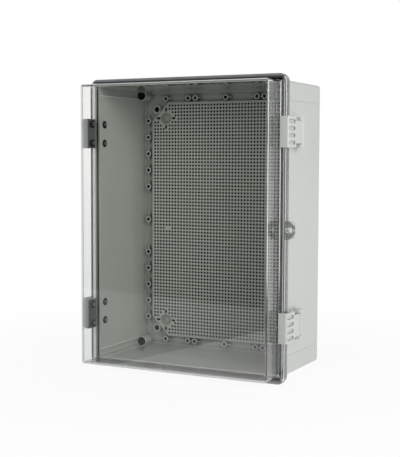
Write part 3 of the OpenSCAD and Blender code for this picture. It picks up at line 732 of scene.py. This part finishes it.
class JUNCTION_BOX_OT_cover(Step, Operator):
    """Build the clear cover with its window, flange, skirt and padlock ear"""

    bl_idname = "junction_box.cover"
    bl_label = "Clear cover"

    def profile(self, sizes, front, skirt_rear):
        """Offsets outside the window, corner radii and depths, from the front face round to the inside."""
        out, wall, flange = sizes.window_inset, sizes.wall, sizes.flange_depth
        under = flange - sizes.flange_thickness
        inside = out - sizes.skirt_thickness
        edge, foot, rim, thin = sizes.front_edge, sizes.foot_fillet, sizes.flange_edge, sizes.skirt_edge
        inner_edge = edge * 0.5
        rib_out = sizes.rib_offset + sizes.rib_width / 2
        rib_in = sizes.rib_offset - sizes.rib_width / 2
        window = [(-wall, front), (-sizes.worn_edge, front)]
        window += quarter_turn((-edge, front - edge), -edge, 90.0)
        window += quarter_turn((foot, flange + foot), foot, 180.0)
        window.append((foot + sizes.foot_line, flange))
        outer = [(out - sizes.dark_edge, flange)]
        outer += quarter_turn((out - rim, flange - rim), -rim, 90.0)
        outer += quarter_turn((out - thin, skirt_rear + thin), -thin, 0.0)
        outer += quarter_turn((inside + thin, skirt_rear + thin), -thin, 270.0)
        outer += quarter_turn((inside - thin, under - thin), thin, 0.0)
        outer += [(rib_out, under), (rib_out, sizes.rib_depth), (rib_in, sizes.rib_depth), (rib_in, under)]
        inner = quarter_turn((-wall + thin, under + thin), -thin, 270.0)
        inner += quarter_turn((-wall - inner_edge, front - wall - inner_edge), inner_edge, 0.0)

        def window_row(offset, depth):
            """A row whose corners follow the window's."""
            return offset, max(sizes.window_corner + offset, sizes.least_corner), depth

        rows = [window_row(*point) for point in window]
        rows += [(offset, sizes.flange_corner + offset - out, depth) for offset, depth in outer]
        rows += [window_row(*point) for point in inner]
        return rows

    def padlock_tools(self, sizes, high, flange_x, skirt_rear):
        """The padlock ear, its hole and the scallop that the hole leaves in the flange's edge."""
        hole_sides, ear_steps, past, root_share = 40, 8, 2 * MM, 0.6
        hole_x = high.x - sizes.hole_ring - sizes.hole_radius
        ear_root = flange_x - sizes.skirt_thickness * root_share
        ear_front = skirt_rear + sizes.ear_thickness
        half, turn = sizes.ear_height / 2, sizes.ear_corner
        outline = [(ear_root, -half)]
        for start, end in ((-90.0, turn - half), (0.0, half - turn)):
            outline += quarter_turn((high.x - turn, end), turn, start, ear_steps)
        outline.append((ear_root, half))
        hole = circle(hole_x, 0.0, sizes.hole_radius, hole_sides)
        scallop = circle(hole_x, 0.0, sizes.hole_radius + sizes.hole_relief, hole_sides)
        return [
            ("UNION", prism("ear", outline, skirt_rear + TOUCH, ear_front)),
            ("DIFFERENCE", prism("hole", hole, skirt_rear - past, ear_front + past / 2)),
            ("DIFFERENCE", prism("scallop", scallop, ear_front, sizes.flange_depth + past)),
        ]

    def face_finish(self, sizes, place, window_x, window_z, front):
        """Which of the cover's finishes a face takes, by the place of its middle."""
        depth = -place.y
        past_side, past_end = abs(place.x) - window_x, abs(place.z) - window_z
        outside = max(past_side, past_end)
        at_end = past_end > past_side
        allowance, hinge_reach = 1.1, 1.5
        whole_wall, whole_skirt = sizes.wall * allowance, sizes.skirt_thickness * allowance
        hinge_side = place.x < sizes.wall * hinge_reach - window_x and not at_end
        flange, foot = sizes.flange_depth, sizes.foot_fillet
        on_fillet = TOUCH / 2 < outside < foot and depth < flange + foot
        # Besides clear faces, the darker tints paint shade seen through the flange and ends, and the frosted
        # strips paint highlights
        if place.x > window_x + sizes.window_inset + TOUCH:
            return CLEAR
        if depth > front - sizes.front_edge:
            at_bottom = at_end and outside > -sizes.wall and place.z < 0.0
            return HIGHLIGHT if outside > -sizes.worn_edge or hinge_side or at_bottom else CLEAR
        if at_end and outside > foot:
            return DARK
        if hinge_side and not on_fillet:
            if outside > sizes.window_inset - sizes.dark_edge:
                return SHADED
            return HIGHLIGHT if abs(depth - flange) < TOUCH else THIN
        if outside > foot and depth < flange - TOUCH:
            return SHADED if outside > sizes.window_inset - whole_skirt else CLEAR
        if at_end:
            return SHADED if place.z < whole_wall - window_z else CLEAR
        if foot < outside < foot + sizes.foot_line:
            return DARK
        if on_fillet and not hinge_side:
            return HIGHLIGHT
        return SHADED_WALL if -whole_wall < outside < TOUCH / 2 else CLEAR

    def execute(self, context):
        sizes = context.scene.junction_box.cover
        low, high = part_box("cover")
        flange_x, flange_z = -low.x, high.z
        front, skirt_rear = -low.y, -high.y
        window_x, window_z = flange_x - sizes.window_inset, flange_z - sizes.window_inset
        rings = [
            ring(window_x + offset, window_z + offset, radius, depth)
            for offset, radius, depth in self.profile(sizes, front, skirt_rear)
        ]
        vertices, faces = skin(rings)
        finishes = [bpy.data.materials[name] for name in COVER_FINISHES]
        cover = new_piece("clear_cover", vertices, faces, finishes[CLEAR])
        carve(cover, self.padlock_tools(sizes, high, flange_x, skirt_rear))
        for finish in finishes[1:]:
            cover.data.materials.append(finish)
        for face in cover.data.polygons:
            face.material_index = self.face_finish(sizes, face.center, window_x, window_z, front)
        smooth(cover, 50.0)
        settle(cover, "door", "cover")
        return {"FINISHED"}


class JUNCTION_BOX_OT_plate(Step, Operator):
    """Build the perforated mounting plate with its dished feet"""

    bl_idname = "junction_box.plate"
    bl_label = "Mounting plate"

    def outline(self, half_x, half_z, cut, inset):
        """The plate's outline, moved inward by an inset."""
        across = inset * (math.sqrt(2.0) - 1.0)
        x, z = half_x - inset, half_z - inset
        near_x, near_z = half_x - cut - across, half_z - cut - across
        return [
            (x, -near_z), (x, near_z), (near_x, z), (-near_x, z),
            (-x, near_z), (-x, -near_z), (-near_x, -z), (near_x, -z),
        ]

    def grid_holes(self, sizes, half_x, half_z, dishes):
        """Middles of the grid's holes, clear of the cut corners, the gate mark, the dishes and the slots."""
        cut_clear, dish_clear, slot_clear, slot_end_clear = 3.0 * MM, 3.6 * MM, 3.2 * MM, 4.6 * MM
        mark_x, mark_z, mark_wide, mark_tall = -95.0 * MM, -12.5 * MM, 5.5 * MM, 3.0 * MM
        columns = round(2 * (half_x - sizes.margin) / sizes.pitch)
        rows = round(2 * (half_z - sizes.margin) / sizes.pitch)
        reach = half_x + half_z - sizes.corner_cut - cut_clear
        dish_reach = sizes.dish_radius + dish_clear
        slot_reach = sizes.slot_offset + slot_end_clear
        middles = []
        for i in range(columns + 1):
            for j in range(rows + 1):
                x, z = (i - columns / 2) * sizes.pitch, (j - rows / 2) * sizes.pitch
                blocked = abs(x) + abs(z) > reach
                blocked |= abs(x - mark_x) < mark_wide and abs(z - mark_z) < mark_tall
                for dish_x, dish_z in dishes:
                    near, far = sorted((abs(x - dish_x), abs(z - dish_z)))
                    blocked |= math.hypot(near, far) < dish_reach
                    blocked |= near < slot_clear and far < slot_reach
                if not blocked:
                    middles.append((x, z))
        return middles

    def slots(self, sizes, dishes):
        """Outlines of the four slots around each dish."""
        along, across = sizes.slot_length / 2, sizes.slot_width / 2
        loops = []
        for x, z in dishes:
            for step_x, step_z in ((1, 0), (0, 1), (-1, 0), (0, -1)):
                middle_x, middle_z = x + step_x * sizes.slot_offset, z + step_z * sizes.slot_offset
                wide, tall = (along, across) if step_x else (across, along)
                loops.append([
                    (middle_x + side * wide, middle_z + end * tall)
                    for side, end in ((-1, -1), (1, -1), (1, 1), (-1, 1))
                ])
        return loops

    def dish_profile(self, sizes, face, floor):
        """Radii and depths of a dish with a soft lip and a rounded floor."""
        lip_steps, bowl_steps = 4, 5
        radius, lip, bowl = sizes.dish_radius, sizes.dish_lip, sizes.dish_bowl
        rows = quarter_turn((radius + lip, face - lip), lip, 90.0, lip_steps)
        return rows + quarter_turn((radius - bowl, floor + bowl), -bowl, 0.0, bowl_steps)

    def execute(self, context):
        sizes = context.scene.junction_box.plate
        dish_sides, inside_with_holes, nearness = 32, 2, 1e-9
        hole_finish, dish_finish = 1, 2
        low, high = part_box("mounting_plate")
        half_x, half_z = high.x, high.z
        face, wall_face = -low.y, -high.y
        back = face - sizes.thickness
        dishes = [
            (side * (half_x - sizes.dish_inset), end * (half_z - sizes.dish_inset))
            for side in (-1, 1) for end in (-1, 1)
        ]
        feet = [circle(x, z, sizes.dish_radius + sizes.dish_wall, dish_sides) for x, z in dishes]
        holes = self.slots(sizes, dishes)
        for x, z in self.grid_holes(sizes, half_x, half_z, dishes):
            holes.append(circle(x, z, sizes.hole_radius, sizes.hole_sides))

        flat, members = [], []
        for loop in [self.outline(half_x, half_z, sizes.corner_cut, sizes.edge), *feet, *holes]:
            members.append(range(len(flat), len(flat) + len(loop)))
            flat.extend(Vector(point) for point in loop)
        points, _, triangles, origins, _, _ = delaunay_2d_cdt(
            flat, [], [list(member) for member in members], inside_with_holes, nearness
        )
        if len(points) != len(flat):
            raise RuntimeError("the plate's outline and holes meet")
        number = {old: new for new, olds in enumerate(origins) for old in olds}
        count = len(points)
        vertices = [(point.x, -depth, point.y) for depth in (face, back) for point in points]
        faces = [tuple(corners) for corners in triangles]
        faces += [tuple(count + k for k in reversed(corners)) for corners in triangles]

        def band(first, second):
            """Adds a strip of faces between two loops."""
            for k in range(len(first)):
                after = (k + 1) % len(first)
                faces.append((first[k], first[after], second[after], second[k]))

        def add_loop(loop, depth):
            """Adds a loop's points at a depth, and returns their numbers."""
            start = len(vertices)
            vertices.extend((x, -depth, z) for x, z in loop)
            return list(range(start, len(vertices)))

        fronts = [[number[k] for k in member] for member in members]
        backs = [[count + k for k in front] for front in fronts]
        edge = self.outline(half_x, half_z, sizes.corner_cut, 0.0)
        rim = [add_loop(edge, face - sizes.edge), add_loop(edge, back + sizes.edge)]
        for first, second in zip([fronts[0], *rim], [*rim, backs[0]]):
            band(first, second)
        dish_faces = []
        for (x, z), foot, front, rear in zip(dishes, feet, fronts[1:], backs[1:]):
            rows = [front]
            for radius, depth in self.dish_profile(sizes, face, wall_face + sizes.dish_wall):
                rows.append(add_loop(circle(x, z, radius, dish_sides), depth))
            first_dish = len(faces)
            for first, second in zip(rows, rows[1:]):
                band(first, second)
            faces.append(tuple(rows[-1]))
            dish_faces.extend(range(first_dish, len(faces)))
            sole = add_loop(foot, wall_face)
            band(rear, sole)
            faces.append(tuple(sole))
        first_hole, first_wall = 1 + len(feet), len(faces)
        for loop, front, rear in zip(holes, fronts[first_hole:], backs[first_hole:]):
            pit = add_loop(loop, back + sizes.hole_floor)
            band(front, pit)
            faces += [tuple(pit), tuple(rear)]
        plate = new_piece("perforated_plate", vertices, faces, bpy.data.materials["plate plastic"])
        for name in ("plate hole plastic", "plate dish shade plastic"):
            plate.data.materials.append(bpy.data.materials[name])
        # Painted shade: the holes' walls take the near-black finish
        for wall in plate.data.polygons[first_wall:]:
            wall.material_index = hole_finish
        for k in dish_faces:
            plate.data.polygons[k].material_index = dish_finish
        smooth(plate, 30.0)
        settle(plate, "case", "mounting_plate")
        return {"FINISHED"}


class JUNCTION_BOX_OT_hinges(Step, Operator):
    """Dress the two hinges with their pins, screws and seals"""

    bl_idname = "junction_box.hinges"
    bl_label = "Hinges"

    def execute(self, context):
        colours = context.scene.junction_box.colours
        for end in ENDS:
            dress_node(end + "_hinge_pin", "screw steel", colours.pin_round)
            for carrier in ("case", "cover"):
                half = end + "_hinge_" + carrier
                dress_node(half + "_leaf", "shaded hinge plastic", colours.edge_round)
                dress_node(half + "_screws", "dark screw steel", colours.screw_round)
                dress_node(half + "_seals", "gasket rubber", colours.seal_round)
        return {"FINISHED"}


class JUNCTION_BOX_OT_latches(Step, Operator):
    """Dress the two latches with their brackets, pins and screws"""

    bl_idname = "junction_box.latches"
    bl_label = "Latches"

    def execute(self, context):
        colours = context.scene.junction_box.colours
        lever_segments = 3
        for end in ENDS:
            dress_node(end + "_latch_bracket", "latch plastic", colours.edge_round)
            dress_node(end + "_latch_lever", "latch plastic", colours.lever_round, lever_segments)
            dress_node(end + "_latch_pin", "screw steel", colours.pin_round)
            dress_node(end + "_latch_screws", "screw steel", colours.screw_round)
        return {"FINISHED"}


class JUNCTION_BOX_OT_stage(Step, Operator):
    """Set the floor, backdrop, lamps and camera"""

    bl_idname = "junction_box.stage"
    bl_label = "Studio"

    def flat_card(self, name, corners, material):
        """A flat sheet of the studio."""
        card = new_piece(name, corners, [tuple(range(len(corners)))], material)
        return card

    def card_finish(self, name, shade):
        """A plain shade that only reflections show, so that the white studio doesn't veil the clear cover."""
        finish = new_finish(name)
        mirrors, = finish.rays("Glossy Depth")
        glow = finish.add("ShaderNodeEmission", None, {"Color": (shade, shade, shade, 1.0), "Strength": 1.0})
        return finish.surface(finish.either(mirrors > 0.5, finish.add("ShaderNodeBsdfTransparent"), glow))

    def floor_finish(self, studio):
        """White to the camera and in reflections, with some lamp light left so that the shadow stays."""
        paper_shade = 0.95
        finish = new_finish("floor paper")
        camera_ray, mirror_ray, through_ray = finish.rays(*SEEN_RAYS)
        seen = camera_ray + mirror_ray + through_ray
        glow = finish.add("ShaderNodeEmission", None, {"Color": studio.backdrop, "Strength": 1.0})
        paper = finish.add("ShaderNodeBsdfDiffuse", None, {"Color": scaled(studio.backdrop, paper_shade)})
        place = finish.add("ShaderNodeNewGeometry", output="Position")
        ends = {0: place, 1: studio.shadow_middle}
        reach = finish.add("ShaderNodeVectorMath", {"operation": "DISTANCE"}, ends, output="Value")
        near = finish.ramp(
            reach, studio.shadow_near, studio.shadow_far, studio.shadow_share, 0.0, kind="SMOOTHSTEP"
        )
        return finish.surface(finish.either(seen * (1.0 - near), paper, glow))

    def sky(self, studio):
        """White to the camera and partly in reflections, and an even soft light for the rest."""
        middle, fall, mirror_share = 1.35, 1.1, 0.2
        finish = Finish(bpy.data.worlds.new("backdrop"))
        camera_ray, mirror_ray, through_ray = finish.rays(*SEEN_RAYS)
        seen = camera_ray + mirror_ray * mirror_share + through_ray
        direction = finish.add("ShaderNodeTexCoord", output="Generated")
        height, = finish.axes(direction, "Z")
        soft = studio.sky * (middle - abs(height) * fall)
        plain, white = (
            finish.add("ShaderNodeBackground", None, {"Color": studio.backdrop, "Strength": strength})
            for strength in (soft, 1.0)
        )
        return finish.surface(finish.either(seen, plain, white))

    def lamp(self, name, place, target, size, power):
        """A square lamp that points at a target."""
        light = bpy.data.lights.new(name, "AREA")
        light.shape = "SQUARE"
        light.size = size
        light.energy = power
        lamp = bpy.data.objects.new(name, light)
        lamp.location = place
        lamp.rotation_euler = (Vector(target) - Vector(place)).to_track_quat("-Z", "Y").to_euler()
        bpy.context.scene.collection.objects.link(lamp)

    def execute(self, context):
        scene = context.scene
        studio = scene.junction_box.studio
        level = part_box("cover")[0].z
        near = Vector((-0.583, -0.910, level))
        along = Vector((0.979, 0.204, 0.0))
        away = Vector((-0.204, 0.979, 0.0))

        def level_sheet(left, right, depth, lift=0.0):
            """Corners of a sheet that lies over the floor's level, from its near edge backward."""
            start = near + Vector((0.0, 0.0, lift))
            first, second = start - along * left, start + along * right
            return [first, second, second + away * depth, first + away * depth]

        floor_side, floor_depth = 8.0, 12.0
        floor = level_sheet(floor_side, floor_side, floor_depth)
        self.flat_card("floor", floor, self.floor_finish(studio))
        left, right, bottom, top = (-1.6, -1.30), (-0.20, -1.62), -0.7, 0.60
        upright = [(*left, bottom), (*right, bottom), (*right, top), (*left, top)]
        lying = level_sheet(left=2.0, right=0.6, depth=0.62, lift=2 * MM)
        for card in (
            self.flat_card("dark_card", upright, self.card_finish("dark card", studio.dark_card)),
            self.flat_card("grey_card", lying, self.card_finish("grey card", studio.grey_card)),
        ):
            card.visible_camera = False
            card.visible_diffuse = False
            card.visible_shadow = False

        scene.world = self.sky(studio)
        self.lamp("key", studio.key_place, studio.lamp_target, studio.key_size, studio.key_power)
        self.lamp("fill", studio.fill_place, studio.lamp_target, studio.fill_size, studio.fill_power)

        camera = bpy.data.cameras.new("camera")
        camera.lens = studio.camera_lens
        camera.sensor_width = 36.0
        camera.clip_end = 100.0
        view = bpy.data.objects.new("camera", camera)
        view.location = studio.camera_place
        view.rotation_euler = studio.camera_turn
        scene.collection.objects.link(view)
        scene.camera = view
        scene.view_settings.view_transform = "Standard"
        return {"FINISHED"}


class JUNCTION_BOX_PT_sidebar(Panel):
    """Lists the steps that build the junction box"""

    bl_idname = "JUNCTION_BOX_PT_sidebar"
    bl_label = "Junction Box"
    bl_space_type = "VIEW_3D"
    bl_region_type = "UI"
    bl_category = "Junction Box"

    def draw(self, context):
        for step in STEPS:
            self.layout.operator(step.bl_idname)
        for group in JunctionBoxSettings.__annotations__:
            settings = getattr(context.scene.junction_box, group)
            box = self.layout.box()
            box.label(text=group.capitalize())
            for name in settings.__annotations__:
                box.prop(settings, name)


GROUPS = (CaseSizes, CoverSizes, PlateSizes, FinishColours, StudioSetup, JunctionBoxSettings)
STEPS = (
    JUNCTION_BOX_OT_finishes,
    JUNCTION_BOX_OT_case,
    JUNCTION_BOX_OT_cover,
    JUNCTION_BOX_OT_plate,
    JUNCTION_BOX_OT_hinges,
    JUNCTION_BOX_OT_latches,
    JUNCTION_BOX_OT_stage,
)


def register():
    """Makes the settings, steps and panel known to Blender."""
    for one in (*GROUPS, *STEPS, JUNCTION_BOX_PT_sidebar):
        bpy.utils.register_class(one)
    bpy.types.Scene.junction_box = PointerProperty(type=JunctionBoxSettings)


def unregister():
    """Takes the settings, steps and panel away again."""
    del bpy.types.Scene.junction_box
    for one in reversed((*GROUPS, *STEPS, JUNCTION_BOX_PT_sidebar)):
        bpy.utils.unregister_class(one)


def main():
    """Runs the steps in order."""
    register()
    bpy.ops.junction_box.finishes()
    bpy.ops.junction_box.case()
    bpy.ops.junction_box.cover()
    bpy.ops.junction_box.plate()
    bpy.ops.junction_box.hinges()
    bpy.ops.junction_box.latches()
    bpy.ops.junction_box.stage()


if __name__ == "__main__":
    main()
